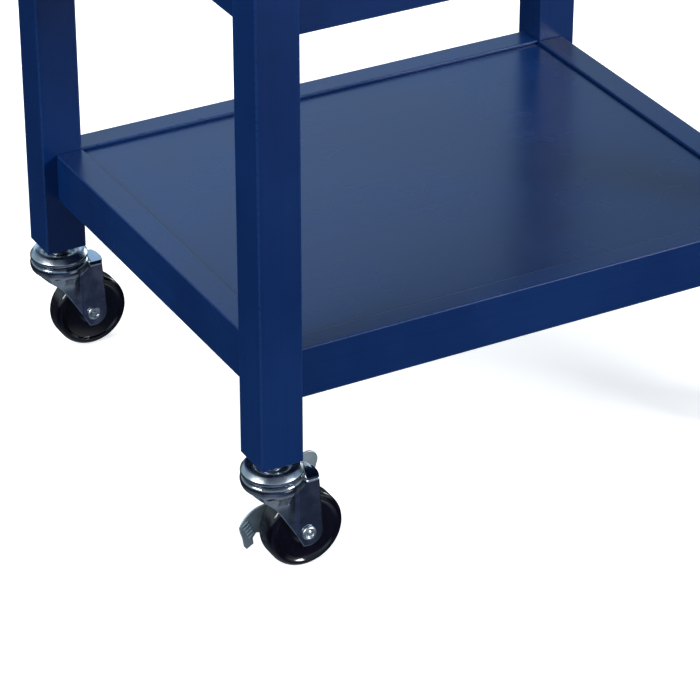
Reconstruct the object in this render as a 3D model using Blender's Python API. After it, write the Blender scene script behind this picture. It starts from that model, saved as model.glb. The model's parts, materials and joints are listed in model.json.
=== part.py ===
"""Kitchen island cart on four swivel casters.

Four square legs carry a low shelf, a middle shelf and a drawer case under a block worktop.
+Z is up, the drawers face -Y, and the origin is on the floor under the middle of the worktop.
Every wooden member is one board, joined by stub tenons in blind mortises.
"""

import math

import bmesh
import bpy
from mathutils import Matrix, Vector

# Driving dimensions, in metres.
GAP = 0.0003

LEG = 0.042
FOOTPRINT_X = 0.610
FOOTPRINT_Y = 0.504
LEG_BOTTOM = 0.119
LEG_TOP = 0.876

RAIL_HEIGHT = 0.050
LOWER_RAIL_BOTTOM = 0.177
MIDDLE_RAIL_BOTTOM = 0.529
SIDE_RECESS = 0.0145
FRONT_RECESS = 0.012
SIDE_RAIL = 0.028
FRONT_RAIL = 0.024
BACK_RAIL = 0.028
PANEL_DROP = 0.0035
PANEL = 0.009
CLEAT = 0.012

TENON_DEPTH = 0.010
TENON_THICKNESS = 0.008
TENON_SHOULDER = 0.008

CASE_HEIGHT = 0.140
APRON = 0.020
DRAWER_RAIL_HEIGHT = 0.020
DIVIDER = 0.018

WORKTOP = 0.0357
WORKTOP_OVERHANG = 0.019

DRAWER_REVEAL = 0.0015
DRAWER_FRONT = 0.020
DRAWER_SIDE = 0.012
DRAWER_SIDE_PLAY = 0.0055
DRAWER_BOX_LIFT = 0.006
DRAWER_BOX_HEIGHT = 0.080
DRAWER_BOTTOM = 0.004
GROOVE_DEPTH = 0.005
GROOVE_LIFT = 0.006
DRAWER_BACK_PLAY = 0.001
RUNNER_HEIGHT = 0.012
RUNNER_GUIDE_HEIGHT = 0.035
RUNNER_UNDER_SIDE = 0.0105
RUNNER_GUIDE_PLAY = 0.0007

KNOB_RADIUS = 0.0155
KNOB_LENGTH = 0.025
KNOB_FOOT_RADIUS = 0.0081
KNOB_NECK_RADIUS = 0.0062
KNOB_NECK_LOW = 0.0075
KNOB_NECK_HIGH = 0.0125
KNOB_CAP_RADIUS = 0.0140
KNOB_CAP_LOW = 0.0165
KNOB_RIM_HEIGHT = 0.0195
KNOB_FACE_RADIUS = 0.0124
KNOB_FACE_HEIGHT = 0.0233
KNOB_STUD_RADIUS = 0.0022
KNOB_STUD_DEPTH = 0.012

WHEEL_RADIUS = 0.0381
WHEEL_HALF_WIDTH = 0.0118
WHEEL_HUB_RADIUS = 0.0115
WHEEL_HUB_PROUD = 0.0008
WHEEL_HUB_SLOPE = 0.0015
WHEEL_WEB_DRAFT = 0.0003
WHEEL_DISH = 0.0020
WHEEL_RIM_INNER = 0.0295
WHEEL_RIM_OUTER = 0.0345
TREAD_EASE = 0.0032

SWIVEL_OFFSET = 0.0283
KINGPIN_RADIUS = 0.005
KINGPIN_HEAD_RADIUS = 0.008
KINGPIN_HEAD = 0.0022
KINGPIN_HEAD_EASE = 0.0006
STUD_RADIUS = 0.0045
STUD_LENGTH = 0.030
NUT_RADIUS = 0.009
NUT_HEIGHT = 0.0096
FLANGE_RADIUS = 0.0119
FLANGE_SLOPE = 0.0008
FLANGE_BOTTOM_DROP = 0.0122
RACE_RADIUS = 0.029
RACE_CREST_RADIUS = 0.0222
RACE_CREST_DROP = 0.0063
RACE_DIP_RADIUS = 0.0140
RACE_SHOULDER_RADIUS = 0.0245
RACE_SHOULDER_DROP = 0.0074
RACE_RIM_DROP = 0.0128
RACE_BOTTOM_DROP = 0.0152
RACE_LIP = 0.0012
CROWN_RADIUS = 0.0294
CROWN_SHOULDER = 0.0046
CROWN_RECESS = 0.0009
CROWN_WAIST_RADIUS = 0.0282
CROWN_FOOT_RADIUS = 0.0170
CROWN_TOP_DROP = 0.0162
CROWN_WAIST_DROP = 0.0265
CROWN_FOOT_DROP = 0.0366
CROWN_BOTTOM_DROP = 0.0378

FORK_INNER = 0.0135
FORK_SHEET = 0.002
FORK_TOP_DROP = 0.0248
FORK_REAR = 0.0113
FORK_END_RADIUS = 0.015
FORK_WEB_FRONT = 0.0132
FORK_WEB_DROP = 0.0355
FORK_WEB_BOW = (0.0026, 0.0016)
FORK_BRIDGE_START = 0.015
FORK_BRIDGE_BOW = 0.0255

AXLE_RADIUS = 0.004
AXLE_HEAD_RADIUS = 0.007
AXLE_HEAD = 0.0038
AXLE_NUT_RADIUS = 0.0065
AXLE_NUT_END_RADIUS = 0.0046
AXLE_NUT = 0.0042
AXLE_NUT_EASE = 0.0008
LEVER_SHEET = 0.002
LEVER_HUB_RADIUS = 0.0115
# The lever's outline about the axle's centre, in its own plane.
LEVER_TAB_CENTRE = (0.0162, 0.0540)
LEVER_TAB_RADIUS = 0.0105
LEVER_ELBOW = (-0.0060, 0.0225)
LEVER_PEDAL_CENTRE = (-0.0275, -0.0073)
LEVER_PEDAL_RADIUS = 0.0284
LEVER_PEDAL_TIP = (-0.0533, -0.0027)
LEVER_TOE = ((-0.0512, -0.0090), (-0.0496, -0.0185), (-0.0470, -0.0219))
LEVER_NOTCH = ((-0.0398, -0.0178), (-0.0406, -0.0114), (-0.0370, -0.0069), (-0.0310, -0.0090))

WHEEL_SEGMENTS = 32
CROWN_SEGMENTS = 24
PIN_SEGMENTS = 12

LEG_SIDES = {
    "front_left": (-1, -1),
    "front_right": (1, -1),
    "back_left": (-1, 1),
    "back_right": (1, 1),
}
BRAKED = ("front_left", "front_right")

# Faces of the frame that several parts share, as distances from the cart's middle planes.
LEG_INNER_X = FOOTPRINT_X / 2 - LEG
LEG_INNER_Y = FOOTPRINT_Y / 2 - LEG
SIDE_OUTER_X = FOOTPRINT_X / 2 - SIDE_RECESS
FRONT_OUTER_Y = FOOTPRINT_Y / 2 - FRONT_RECESS
CASE_BOTTOM = LEG_TOP - CASE_HEIGHT
OPENING_BOTTOM = CASE_BOTTOM + DRAWER_RAIL_HEIGHT
OPENING_TOP = LEG_TOP - DRAWER_RAIL_HEIGHT
SWIVEL_X = FOOTPRINT_X / 2 - LEG / 2
SWIVEL_Y = FOOTPRINT_Y / 2 - LEG / 2
APRON_INNER_X = SIDE_OUTER_X - APRON
APRON_INNER_Y = FRONT_OUTER_Y - APRON
BOX_OUTER_X = LEG_INNER_X - DRAWER_SIDE_PLAY
BOX_INNER_X = DIVIDER / 2 + DRAWER_SIDE_PLAY
BOX_BOTTOM = OPENING_BOTTOM + DRAWER_BOX_LIFT
BOX_BACK_Y = APRON_INNER_Y - DRAWER_BACK_PLAY
FRONT_PANEL_BACK_Y = -FRONT_OUTER_Y + DRAWER_FRONT


def clear_scene():
    for thing in list(bpy.data.objects):
        bpy.data.objects.remove(thing, do_unlink=True)


def make_material(name, colour, roughness, metallic):
    material = bpy.data.materials.new(name)
    material.use_nodes = True
    shader = material.node_tree.nodes["Principled BSDF"]
    shader.inputs["Base Color"].default_value = (*colour, 1.0)
    shader.inputs["Roughness"].default_value = roughness
    shader.inputs["Metallic"].default_value = metallic
    return material


def link_mesh(name, bm, material, location=(0, 0, 0), parent=None):
    """Turns the bmesh into an object at location, in its parent's space."""
    bmesh.ops.recalc_face_normals(bm, faces=bm.faces)
    mesh = bpy.data.meshes.new(name)
    bm.to_mesh(mesh)
    bm.free()
    mesh.materials.append(material)
    made = bpy.data.objects.new(name, mesh)
    made.location = location
    made.parent = parent
    bpy.context.scene.collection.objects.link(made)
    return made


def add_box(bm, low, high):
    middle = (low + high) / 2
    size = high - low
    place = Matrix.Translation(middle) @ Matrix.Diagonal((*size, 1.0))
    bmesh.ops.create_cube(bm, size=1.0, matrix=place)


def sorted_corners(first, second):
    low = [min(a, b) for a, b in zip(first, second)]
    high = [max(a, b) for a, b in zip(first, second)]
    return Vector(low), Vector(high)


def board(name, first, second, material, parent=None):
    """A rectangular board between two opposite corners, with its origin at its middle."""
    low, high = sorted_corners(first, second)
    middle = (low + high) / 2
    bm = bmesh.new()
    add_box(bm, low - middle, high - middle)
    return link_mesh(name, bm, material, middle, parent)


def tenon_half_height(height):
    """Half the height of the tenon on a rail of this height."""
    return height / 2 - min(TENON_SHOULDER, height / 5)


def tenoned_board(name, low, high, along, material):
    """A board whose two ends along X (0) or Y (1) carry a stub tenon each."""
    low, high = Vector(low), Vector(high)
    middle = (low + high) / 2
    across = 1 - along
    half_height = tenon_half_height(high.z - low.z)
    bm = bmesh.new()
    add_box(bm, low - middle, high - middle)
    ends = [face for face in bm.faces if abs(face.normal[along]) > 0.5]
    for end in ends:
        outward = end.normal.copy()
        shoulder = bmesh.ops.extrude_discrete_faces(bm, faces=[end])["faces"][0]
        for vertex in shoulder.verts:
            vertex.co[across] = math.copysign(TENON_THICKNESS / 2, vertex.co[across])
            vertex.co.z = math.copysign(half_height, vertex.co.z)
        tip = bmesh.ops.extrude_discrete_faces(bm, faces=[shoulder])["faces"][0]
        bmesh.ops.translate(bm, verts=tip.verts, vec=outward * (TENON_DEPTH + GAP))
    return link_mesh(name, bm, material, middle)


def prism_point(point, axis, start):
    """A point of an outline that lies across axis: XY for Z, XZ for Y and YZ for X."""
    place = list(point)
    place.insert(axis, start)
    return place


def prism(name, outline, axis, start, end, material, parent=None):
    """A closed prism from start to end along axis."""
    bm = bmesh.new()
    face = bm.faces.new([bm.verts.new(prism_point(point, axis, start)) for point in outline])
    moved = bmesh.ops.extrude_face_region(bm, geom=[face])["geom"]
    shift = [0.0, 0.0, 0.0]
    shift[axis] = end - start
    verts = [item for item in moved if isinstance(item, bmesh.types.BMVert)]
    bmesh.ops.translate(bm, verts=verts, vec=shift)
    return link_mesh(name, bm, material, parent=parent)


def arc(centre, radius, start_degrees, end_degrees, steps, second_radius=None):
    """Points of an arc in a plane, both ends included. second_radius makes it part of an ellipse."""
    height = radius if second_radius is None else second_radius
    points = []
    for step in range(steps + 1):
        angle = math.radians(start_degrees + (end_degrees - start_degrees) * step / steps)
        points.append((centre[0] + radius * math.cos(angle), centre[1] + height * math.sin(angle)))
    return points


def turned(name, profile, segments, material, parent=None, closed=False, along_y=False, location=(0, 0, 0)):
    """Spins a profile of (radius, height) points about Z, or about Y. A closed profile makes a ring."""
    bm = bmesh.new()
    verts = [bm.verts.new((radius, 0, height)) for radius, height in profile]
    pairs = list(zip(verts, verts[1:]))
    if closed:
        pairs.append((verts[-1], verts[0]))
    edges = [bm.edges.new(pair) for pair in pairs]
    bmesh.ops.spin(
        bm,
        geom=verts + edges,
        cent=(0, 0, 0),
        axis=(0, 0, 1),
        dvec=(0, 0, 0),
        angle=math.tau,
        steps=segments,
        use_merge=True,
        use_duplicate=False,
    )
    bmesh.ops.remove_doubles(bm, verts=bm.verts, dist=1e-6)
    if along_y:
        half_step = Matrix.Rotation(math.pi / segments, 4, "Z")
        bmesh.ops.transform(bm, matrix=Matrix.Rotation(math.pi / 2, 4, "X") @ half_step, verts=bm.verts)
    made = link_mesh(name, bm, material, location, parent)
    shade(made)
    return made


def shade(thing):
    thing.data.shade_smooth()
    thing.data.set_sharp_from_angle(angle=math.radians(35))


def as_cutter(thing):
    thing.hide_render = True
    thing.display_type = "WIRE"
    return thing


def round_cutter(name, radius, reach, material, parent=None, along_y=False, location=(0, 0, 0)):
    """A round cutter that reaches the same length both ways from location."""
    profile = [(0, reach), (radius, reach), (radius, -reach), (0, -reach)]
    return as_cutter(turned(name, profile, PIN_SEGMENTS, material, parent, False, along_y, location))


def boolean(target, tool, operation):
    modifier = target.modifiers.new(operation.title() + " " + tool.name, "BOOLEAN")
    modifier.operation = operation
    modifier.solver = "EXACT"
    modifier.object = tool


def add_mortise(bm, rail_low, rail_high, along, side):
    """The pocket for one end of a rail. side is the sign of the leg along the rail."""
    across = 1 - along
    half_height = tenon_half_height(rail_high[2] - rail_low[2]) + GAP
    half_thickness = TENON_THICKNESS / 2 + GAP
    middle = [(a + b) / 2 for a, b in zip(rail_low, rail_high)]
    end = rail_high[along] if side > 0 else rail_low[along]
    first = [0.0, 0.0, middle[2] - half_height]
    second = [0.0, 0.0, middle[2] + half_height]
    first[across] = middle[across] - half_thickness
    second[across] = middle[across] + half_thickness
    first[along] = end
    second[along] = end + side * (TENON_DEPTH + 2 * GAP)
    add_box(bm, *sorted_corners(first, second))


def side_member(side, bottom, top, thickness):
    """Corners of a board between a front and a back leg. side is -1 for the left and 1 for the right."""
    reach = LEG_INNER_Y - GAP
    outer = side * SIDE_OUTER_X
    inner = side * (SIDE_OUTER_X - thickness)
    return (min(outer, inner), -reach, bottom), (max(outer, inner), reach, top)


def cross_member(side, bottom, top, thickness):
    """Corners of a board between a left and a right leg. side is -1 for the front and 1 for the back."""
    reach = LEG_INNER_X - GAP
    outer = side * FRONT_OUTER_Y
    inner = side * (FRONT_OUTER_Y - thickness)
    return (-reach, min(outer, inner), bottom), (reach, max(outer, inner), top)


def frame_members():
    """Every tenoned board as name: (low corner, high corner, direction it runs in)."""
    members = {}
    for level, bottom in (("lower", LOWER_RAIL_BOTTOM), ("middle", MIDDLE_RAIL_BOTTOM)):
        top = bottom + RAIL_HEIGHT
        members[f"{level}_rail_left"] = (*side_member(-1, bottom, top, SIDE_RAIL), 1)
        members[f"{level}_rail_right"] = (*side_member(1, bottom, top, SIDE_RAIL), 1)
        members[f"{level}_rail_front"] = (*cross_member(-1, bottom, top, FRONT_RAIL), 0)
        members[f"{level}_rail_back"] = (*cross_member(1, bottom, top, BACK_RAIL), 0)
    top = LEG_TOP - GAP
    members["apron_left"] = (*side_member(-1, CASE_BOTTOM, top, APRON), 1)
    members["apron_right"] = (*side_member(1, CASE_BOTTOM, top, APRON), 1)
    members["apron_back"] = (*cross_member(1, CASE_BOTTOM, top, APRON), 0)
    members["drawer_rail_bottom"] = (*cross_member(-1, CASE_BOTTOM, OPENING_BOTTOM, FRONT_RAIL), 0)
    members["drawer_rail_top"] = (*cross_member(-1, OPENING_TOP, top, FRONT_RAIL), 0)
    return members


def make_frame(paint):
    members = frame_members()
    for name, (low, high, along) in members.items():
        tenoned_board(name, low, high, along, paint)
    for corner, (side_x, side_y) in LEG_SIDES.items():
        make_leg(corner, side_x, side_y, members, paint)


def make_leg(corner, side_x, side_y, members, paint):
    outer = (side_x * FOOTPRINT_X / 2, side_y * FOOTPRINT_Y / 2, LEG_BOTTOM)
    inner = (side_x * LEG_INNER_X, side_y * LEG_INNER_Y, LEG_TOP)
    leg = board(f"leg_{corner}", outer, inner, paint)
    pockets = bmesh.new()
    for low, high, along in members.values():
        across = 1 - along
        sides = (side_x, side_y)
        if (low[across] + high[across]) * sides[across] > 0:
            add_mortise(pockets, low, high, along, sides[along])
    cutter = as_cutter(link_mesh(f"pockets_{corner}", pockets, paint))
    boolean(leg, cutter, "DIFFERENCE")
    place = (side_x * SWIVEL_X, side_y * SWIVEL_Y, LEG_BOTTOM)
    reach = STUD_LENGTH + GAP
    hole = round_cutter(f"stud_hole_{corner}", STUD_RADIUS + GAP, reach, paint, location=place)
    boolean(leg, hole, "DIFFERENCE")


def make_shelf(level, rail_bottom, paint):
    """A panel let in below the rails' top, on a cleat along each side rail."""
    top = rail_bottom + RAIL_HEIGHT - PANEL_DROP
    reach_x = SIDE_OUTER_X - SIDE_RAIL - GAP
    front = -(FRONT_OUTER_Y - FRONT_RAIL) + GAP
    back = FRONT_OUTER_Y - BACK_RAIL - GAP
    board(f"{level}_shelf_panel", (-reach_x, front, top - PANEL), (reach_x, back, top), paint)
    cleat_top = top - PANEL - GAP
    for word, side in (("left", -1), ("right", 1)):
        first = (side * reach_x, front, cleat_top - CLEAT)
        second = (side * (reach_x - CLEAT), back, cleat_top)
        board(f"{level}_cleat_{word}", first, second, paint)


def make_case(paint, bare_wood):
    """The divider and the runners inside the drawer case."""
    half = DIVIDER / 2
    behind_rails = -FRONT_OUTER_Y + FRONT_RAIL + GAP
    back = APRON_INNER_Y - GAP
    outline = [
        (-FRONT_OUTER_Y, OPENING_BOTTOM + GAP),
        (behind_rails, OPENING_BOTTOM + GAP),
        (behind_rails, CASE_BOTTOM),
        (back, CASE_BOTTOM),
        (back, LEG_TOP - GAP),
        (behind_rails, LEG_TOP - GAP),
        (behind_rails, OPENING_TOP - GAP),
        (-FRONT_OUTER_Y, OPENING_TOP - GAP),
    ]
    prism("case_divider", outline, 0, -half, half, paint)
    top = BOX_BOTTOM - GAP
    for word, side in (("left", -1), ("right", 1)):
        reach = LEG_INNER_Y - GAP
        outer = runner_outline(side, APRON_INNER_X - GAP, BOX_OUTER_X, -1, top)
        prism(f"runner_{word}_outer", outer, 1, -reach, reach, bare_wood)
        inner = runner_outline(side, half + GAP, BOX_INNER_X, 1, top)
        prism(f"runner_{word}_inner", inner, 1, behind_rails, back, bare_wood)


def runner_outline(side, fixed_face, box_face, inward, top):
    """An L section: a guide against the fixed face and a flange under the drawer's side."""
    guide = box_face - inward * RUNNER_GUIDE_PLAY
    flange = box_face + inward * RUNNER_UNDER_SIDE
    bottom = top - RUNNER_HEIGHT
    guide_top = top + RUNNER_GUIDE_HEIGHT - RUNNER_HEIGHT
    points = [
        (fixed_face, bottom),
        (flange, bottom),
        (flange, top),
        (guide, top),
        (guide, guide_top),
        (fixed_face, guide_top),
    ]
    return [(side * x, z) for x, z in points]


def make_worktop(block_wood):
    reach_x = FOOTPRINT_X / 2 + WORKTOP_OVERHANG
    reach_y = FOOTPRINT_Y / 2 + WORKTOP_OVERHANG
    bottom = LEG_TOP + GAP
    board("worktop", (-reach_x, -reach_y, bottom), (reach_x, reach_y, bottom + WORKTOP), block_wood)


def make_drawer(word, side, paint, bare_wood, metal):
    """One drawer: front, two sides, back, bottom in grooves, and a knob on a stud."""
    slide = bpy.data.objects.new(f"drawer_{word}_slide", None)
    slide.location = (side * (LEG_INNER_X + DIVIDER / 2) / 2, 0, 0)
    bpy.context.scene.collection.objects.link(slide)
    middle = slide.location.x

    def drawer_board(part, near, far, material):
        """A board of this drawer, from corners given as if it were the right one."""
        first = (side * near[0] - middle, near[1], near[2])
        second = (side * far[0] - middle, far[1], far[2])
        return board(f"drawer_{word}_{part}", first, second, material, slide)

    groove_low = BOX_BOTTOM + GROOVE_LIFT
    groove_high = groove_low + DRAWER_BOTTOM
    groove_front = FRONT_PANEL_BACK_Y - GROOVE_DEPTH
    groove_inner = BOX_INNER_X + DRAWER_SIDE - GROOVE_DEPTH
    groove_outer = BOX_OUTER_X - DRAWER_SIDE + GROOVE_DEPTH
    near = (groove_inner, groove_front, groove_low)
    far = (groove_outer, BOX_BACK_Y, groove_high)
    drawer_board("bottom", near, far, bare_wood)
    near = (groove_inner - GAP, groove_front - GAP, groove_low - GAP)
    far = (groove_outer + GAP, BOX_BACK_Y + DRAWER_SIDE, groove_high + GAP)
    groove = as_cutter(drawer_board("groove", near, far, bare_wood))

    near = (DIVIDER / 2 + DRAWER_REVEAL, -FRONT_OUTER_Y, OPENING_BOTTOM + DRAWER_REVEAL)
    far = (LEG_INNER_X - DRAWER_REVEAL, FRONT_PANEL_BACK_Y, OPENING_TOP - DRAWER_REVEAL)
    front = drawer_board("front", near, far, paint)
    boolean(front, groove, "DIFFERENCE")

    box_top = BOX_BOTTOM + DRAWER_BOX_HEIGHT
    for part, inner_face in (("inner", BOX_INNER_X), ("outer", BOX_OUTER_X - DRAWER_SIDE)):
        near = (inner_face, FRONT_PANEL_BACK_Y + GAP, BOX_BOTTOM)
        far = (inner_face + DRAWER_SIDE, BOX_BACK_Y, box_top)
        wall = drawer_board(f"side_{part}", near, far, bare_wood)
        boolean(wall, groove, "DIFFERENCE")

    near = (BOX_INNER_X + DRAWER_SIDE + GAP, BOX_BACK_Y - DRAWER_SIDE, groove_high + GAP)
    far = (BOX_OUTER_X - DRAWER_SIDE - GAP, BOX_BACK_Y, box_top)
    drawer_board("back", near, far, bare_wood)
    make_knob(word, front, slide, metal)


def knob_profile():
    """A waisted knob on its stud, from the stud's tip to the face."""
    return [
        (0, -KNOB_STUD_DEPTH),
        (KNOB_STUD_RADIUS, -KNOB_STUD_DEPTH),
        (KNOB_STUD_RADIUS, GAP),
        (KNOB_FOOT_RADIUS, GAP),
        (KNOB_NECK_RADIUS, KNOB_NECK_LOW),
        (KNOB_NECK_RADIUS, KNOB_NECK_HIGH),
        (KNOB_CAP_RADIUS, KNOB_CAP_LOW),
        (KNOB_RADIUS, KNOB_RIM_HEIGHT),
        (KNOB_FACE_RADIUS, KNOB_FACE_HEIGHT),
        (0, KNOB_LENGTH),
    ]


def make_knob(word, front, slide, metal):
    place = (0, -FRONT_OUTER_Y, (OPENING_BOTTOM + OPENING_TOP) / 2)
    name = f"drawer_{word}_knob"
    turned(name, knob_profile(), CROWN_SEGMENTS, metal, slide, along_y=True, location=place)
    radius = KNOB_STUD_RADIUS + GAP
    reach = KNOB_STUD_DEPTH + GAP
    hole = round_cutter(f"knob_hole_{word}", radius, reach, metal, slide, True, place)
    boolean(front, hole, "DIFFERENCE")


def stem_profile():
    """Stud, flanged nut, dished upper race and kingpin, from the top down the outside."""
    flange_top = LEG_BOTTOM - NUT_HEIGHT - FLANGE_SLOPE
    flange_bottom = LEG_BOTTOM - FLANGE_BOTTOM_DROP
    race_bottom = LEG_BOTTOM - RACE_BOTTOM_DROP
    dish_centre = (RACE_CREST_RADIUS, flange_bottom)
    dish_width = RACE_CREST_RADIUS - RACE_DIP_RADIUS
    dish_depth = FLANGE_BOTTOM_DROP - RACE_CREST_DROP
    rivet_top = LEG_BOTTOM - CROWN_BOTTOM_DROP - GAP
    rivet_bottom = rivet_top - KINGPIN_HEAD
    return [
        (0, LEG_BOTTOM + STUD_LENGTH),
        (STUD_RADIUS, LEG_BOTTOM + STUD_LENGTH),
        (STUD_RADIUS, LEG_BOTTOM - GAP),
        (NUT_RADIUS, LEG_BOTTOM - GAP),
        (NUT_RADIUS, LEG_BOTTOM - NUT_HEIGHT),
        (FLANGE_RADIUS, flange_top),
        (FLANGE_RADIUS, flange_bottom),
        *arc(dish_centre, dish_width, 180, 90, 3, dish_depth),
        (RACE_SHOULDER_RADIUS, LEG_BOTTOM - RACE_SHOULDER_DROP),
        (RACE_RADIUS, LEG_BOTTOM - RACE_RIM_DROP),
        (RACE_RADIUS, race_bottom + RACE_LIP),
        (RACE_RADIUS - RACE_LIP, race_bottom),
        (KINGPIN_RADIUS, race_bottom),
        (KINGPIN_RADIUS, rivet_top),
        (KINGPIN_HEAD_RADIUS, rivet_top),
        (KINGPIN_HEAD_RADIUS, rivet_bottom + KINGPIN_HEAD_EASE),
        (KINGPIN_HEAD_RADIUS - KINGPIN_HEAD_EASE, rivet_bottom),
        (0, rivet_bottom),
    ]


def crown_profile():
    """The fork's pressed lower race about the kingpin: a rolled shoulder, then a bowl that narrows."""
    bore = KINGPIN_RADIUS + GAP
    top = LEG_BOTTOM - CROWN_TOP_DROP
    shoulder_centre = (CROWN_RADIUS - CROWN_SHOULDER, top - CROWN_SHOULDER)
    return [
        (bore, top - CROWN_RECESS),
        (CROWN_RADIUS - 2 * CROWN_SHOULDER, top - CROWN_RECESS),
        *arc(shoulder_centre, CROWN_SHOULDER, 90, 0, 3),
        (CROWN_WAIST_RADIUS, LEG_BOTTOM - CROWN_WAIST_DROP),
        (CROWN_FOOT_RADIUS, LEG_BOTTOM - CROWN_FOOT_DROP),
        (bore, LEG_BOTTOM - CROWN_BOTTOM_DROP),
    ]


def wheel_profile():
    """One moulded wheel, hub face to tread and back, closed through its bore."""
    tread = WHEEL_RADIUS / math.cos(math.pi / WHEEL_SEGMENTS)
    half = [
        (AXLE_RADIUS + GAP, WHEEL_HALF_WIDTH + WHEEL_HUB_PROUD),
        (WHEEL_HUB_RADIUS, WHEEL_HALF_WIDTH + WHEEL_HUB_PROUD),
        (WHEEL_HUB_RADIUS + WHEEL_HUB_SLOPE, WHEEL_HALF_WIDTH - WHEEL_DISH),
        (WHEEL_RIM_INNER, WHEEL_HALF_WIDTH - WHEEL_DISH + WHEEL_WEB_DRAFT),
        (WHEEL_RIM_OUTER, WHEEL_HALF_WIDTH),
        (tread, WHEEL_HALF_WIDTH - TREAD_EASE),
    ]
    return half + [(radius, -height) for radius, height in reversed(half)]


def axle_profile(nut_face):
    """A nut, the shank and a domed head, along the wheel's axis."""
    head_face = FORK_INNER + FORK_SHEET + GAP
    nut_end = -nut_face - AXLE_NUT
    return [
        (0, nut_end),
        (AXLE_NUT_END_RADIUS, nut_end),
        (AXLE_NUT_RADIUS, nut_end + AXLE_NUT_EASE),
        (AXLE_NUT_RADIUS, -nut_face),
        (AXLE_RADIUS, -nut_face),
        (AXLE_RADIUS, head_face),
        *arc((0, head_face), AXLE_HEAD_RADIUS, 0, 90, 4, AXLE_HEAD),
    ]


def curve_between(start, pull, end, steps):
    """Points inside a curve that leaves start and reaches end in the directions of pull."""
    points = []
    for step in range(1, steps):
        t = step / steps
        first = (1 - t) ** 2
        second = 2 * t * (1 - t)
        points.append(tuple(first * a + second * b + t * t * c for a, b, c in zip(start, pull, end)))
    return points


def fork_arm_outline():
    """One arm seen along the axle: a strip down to the axle, with a web up to the crown's front."""
    top = LEG_BOTTOM - FORK_TOP_DROP
    end = arc((SWIVEL_OFFSET + GAP, WHEEL_RADIUS), FORK_END_RADIUS, 5, -110, 8)
    web_end = (-FORK_WEB_FRONT, LEG_BOTTOM - FORK_WEB_DROP)
    halfway = [(a + b) / 2 for a, b in zip(end[-1], web_end)]
    pull = [middle + bow for middle, bow in zip(halfway, FORK_WEB_BOW)]
    web = curve_between(end[-1], pull, web_end, 5)
    return [(SWIVEL_OFFSET + FORK_REAR, top), *end, *web, web_end, (-FORK_WEB_FRONT, top)]


def fork_bridge_outline():
    """The flat behind the crown that joins the two arms, with a bowed rear edge."""
    half = FORK_INNER + FORK_SHEET
    rear = SWIVEL_OFFSET + FORK_REAR
    spread = math.degrees(math.atan2(half, FORK_BRIDGE_BOW))
    radius = math.hypot(FORK_BRIDGE_BOW, half)
    bow = arc((rear - FORK_BRIDGE_BOW, 0), radius, -spread, spread, 6)
    return [(FORK_BRIDGE_START, -half), *bow, (FORK_BRIDGE_START, half)]


def make_fork(corner, swivel, zinc):
    outer = FORK_INNER + FORK_SHEET
    fork = turned(f"caster_{corner}_fork", crown_profile(), CROWN_SEGMENTS, zinc, swivel, closed=True)
    arm = fork_arm_outline()
    for word, sign in (("near", -1), ("far", 1)):
        tool = prism(f"arm_{word}_{corner}", arm, 1, sign * FORK_INNER, sign * outer, zinc, swivel)
        boolean(fork, as_cutter(tool), "UNION")
    top = LEG_BOTTOM - FORK_TOP_DROP
    bridge = prism(f"bridge_{corner}", fork_bridge_outline(), 2, top - FORK_SHEET, top, zinc, swivel)
    boolean(fork, as_cutter(bridge), "UNION")
    place = (SWIVEL_OFFSET, 0, WHEEL_RADIUS)
    hole = round_cutter(f"axle_hole_{corner}", AXLE_RADIUS + GAP, 2 * outer, zinc, swivel, True, place)
    boolean(fork, hole, "DIFFERENCE")


def lever_outline():
    """The brake lever seen along the axle, about the axle's centre: upper tab, foot pedal and hub."""
    tab = arc(LEVER_TAB_CENTRE, LEVER_TAB_RADIUS, -25, 150, 9)
    pedal = arc(LEVER_PEDAL_CENTRE, LEVER_PEDAL_RADIUS, 85, 160, 8)
    hub = arc((0, 0), LEVER_HUB_RADIUS, 235, 345, 6)
    return [*tab, LEVER_ELBOW, *pedal, LEVER_PEDAL_TIP, *LEVER_TOE, *LEVER_NOTCH, *hub]


def make_lever(corner, axle_empty, zinc):
    inner = FORK_INNER + FORK_SHEET + GAP
    outer = inner + LEVER_SHEET
    lever = prism(f"caster_{corner}_brake_lever", lever_outline(), 1, inner, outer, zinc, axle_empty)
    hole = round_cutter(f"lever_hole_{corner}", AXLE_RADIUS + GAP, 2 * outer, zinc, axle_empty, True)
    boolean(lever, hole, "DIFFERENCE")


def make_caster(corner, side_x, side_y, zinc, black):
    """A stem caster under one leg. Both left casters trail to the right, both right ones to the left."""
    place = (side_x * SWIVEL_X, side_y * SWIVEL_Y, 0)
    turned(f"caster_{corner}_stem", stem_profile(), CROWN_SEGMENTS, zinc, location=place)
    swivel = bpy.data.objects.new(f"caster_{corner}_swivel", None)
    swivel.location = place
    swivel.rotation_euler = (0, 0, 0 if side_x < 0 else math.pi)
    bpy.context.scene.collection.objects.link(swivel)
    make_fork(corner, swivel, zinc)
    spin = bpy.data.objects.new(f"caster_{corner}_axis", None)
    spin.location = (SWIVEL_OFFSET, 0, WHEEL_RADIUS)
    spin.parent = swivel
    bpy.context.scene.collection.objects.link(spin)
    profile = wheel_profile()
    turned(f"caster_{corner}_wheel", profile, WHEEL_SEGMENTS, black, spin, closed=True, along_y=True)
    nut_face = FORK_INNER + FORK_SHEET + GAP
    if corner in BRAKED:
        nut_face += LEVER_SHEET + GAP
        make_lever(corner, spin, zinc)
    turned(f"caster_{corner}_axle", axle_profile(nut_face), PIN_SEGMENTS, zinc, spin, along_y=True)


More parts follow.
